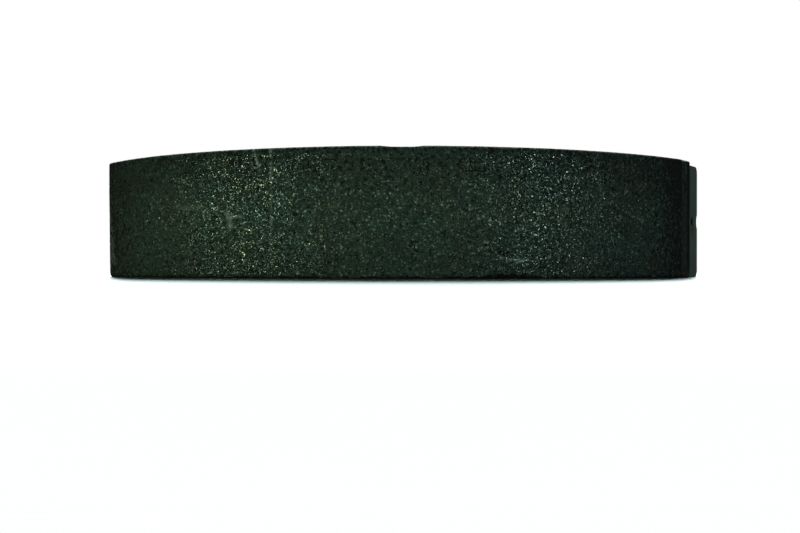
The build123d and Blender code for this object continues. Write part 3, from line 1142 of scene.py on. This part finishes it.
# %% Bead rows: node tree
bead_inputs = (
    ("Geometry", "Geometry", None),
    ("Spacing", "Float", 0.5 * mm),
    ("Smallest", "Float", 0.25 * mm),
    ("Largest", "Float", 0.50 * mm),
    ("Seed", "Int", 1),
    ("Material", "Material", None),
)
bead_row, given = new_group("bead_row", bead_inputs)
lines = add(bead_row, "GeometryNodeMeshToCurve", {"Mesh": given["Geometry"]})
spaced = add(
    bead_row,
    "GeometryNodeResampleCurve",
    {"Curve": lines.outputs[0], "Length": given["Spacing"]},
    mode="LENGTH",
)
ball = add(bead_row, "GeometryNodeMeshIcoSphere", {"Radius": 1.0, "Subdivisions": 2})
bead = add(bead_row, "GeometryNodeSetShadeSmooth", {"Geometry": ball.outputs["Mesh"]})
bead_size = add(
    bead_row,
    "FunctionNodeRandomValue",
    {2: given["Smallest"], 3: given["Largest"], "Seed": given["Seed"]},
    data_type="FLOAT",
)
bead_turn = add(
    bead_row,
    "FunctionNodeRandomValue",
    {0: (0, 0, 0), 1: (3, 3, 3), "Seed": given["Seed"]},
    data_type="FLOAT_VECTOR",
)
laid = add(
    bead_row,
    "GeometryNodeInstanceOnPoints",
    {
        "Points": spaced.outputs[0],
        "Instance": bead.outputs[0],
        "Rotation": bead_turn.outputs[0],
        "Scale": bead_size.outputs[1],
    },
)
end_group(bead_row, laid.outputs[0], given["Material"])
print(bead_row.name + ":", [label for label, _, _ in bead_inputs])


# %% Bead rows: where they lie
def lines_mesh(name, paths):
    """A mesh of plain edges, one chain for each path of points."""
    made = bpy.data.meshes.new(name)
    starts = np.cumsum([0] + [len(path) for path in paths])
    edges = [(k, k + 1) for i in range(len(paths)) for k in range(starts[i], starts[i + 1] - 1)]
    made.from_pydata(np.concatenate(paths).tolist(), edges, [])
    return made


weld_paths = []
for land in range(land_count):
    start = land * land_pitch - half_weld
    along_land = np.linspace(start + 0.05 * land_angle, start + 0.95 * land_angle, 12)
    for side in (-1, 1):
        height_there = mid_width + side * (web_thickness / 2 + 0.05 * mm)
        weld_paths.append(on_shoe(table_inner_radius - 0.10 * mm, along_land, height_there))
weld_beads = run_nodes("weld_beads", lines_mesh("weld_lines", weld_paths), bead_row, Seed=6, Material=primed)

# %% Adhesive beads
# Baked adhesive gives the eye a thin, slightly shiny dark line where the lining ends.
adhesive, _, _ = new_material(
    "baked_phenolic_adhesive", {"Base Color": linear("#0E0B08"), "Roughness": 0.40}
)
adhesive_paths = []
for side in (-1, 1):
    up_the_end = np.linspace(arris, shoe_width - arris, 40)
    edge_angle = side * (half_lining + 0.10 * mm / table_outer_radius)
    adhesive_paths.append(on_shoe(table_outer_radius + 0.05 * mm, edge_angle, up_the_end))
adhesive_beads = run_nodes(
    "adhesive_beads",
    lines_mesh("adhesive_lines", adhesive_paths),
    bead_row,
    Spacing=0.25 * mm,
    Smallest=0.12 * mm,
    Largest=0.30 * mm,
    Seed=11,
    Material=adhesive,
)

# %% [markdown]
# ## Joining the model
#
# Each dressed piece stands for the CAD node that it was built over, and all ride on the one body
# of a part that has no moving joints.

# %% Joining
for piece, node, slot in (
    (lining, "friction_lining", "lining"),
    (brass_flecks, "friction_lining", "lining"),
    (steel_flecks, "friction_lining", "lining"),
    (table, "shoe_table", "table_steel"),
    (web, "shoe_web", "web_steel"),
    (weld_beads, "shoe_web", "web_steel"),
    (adhesive_beads, "friction_lining", "lining"),
):
    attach(piece, "root")
    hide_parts(node)
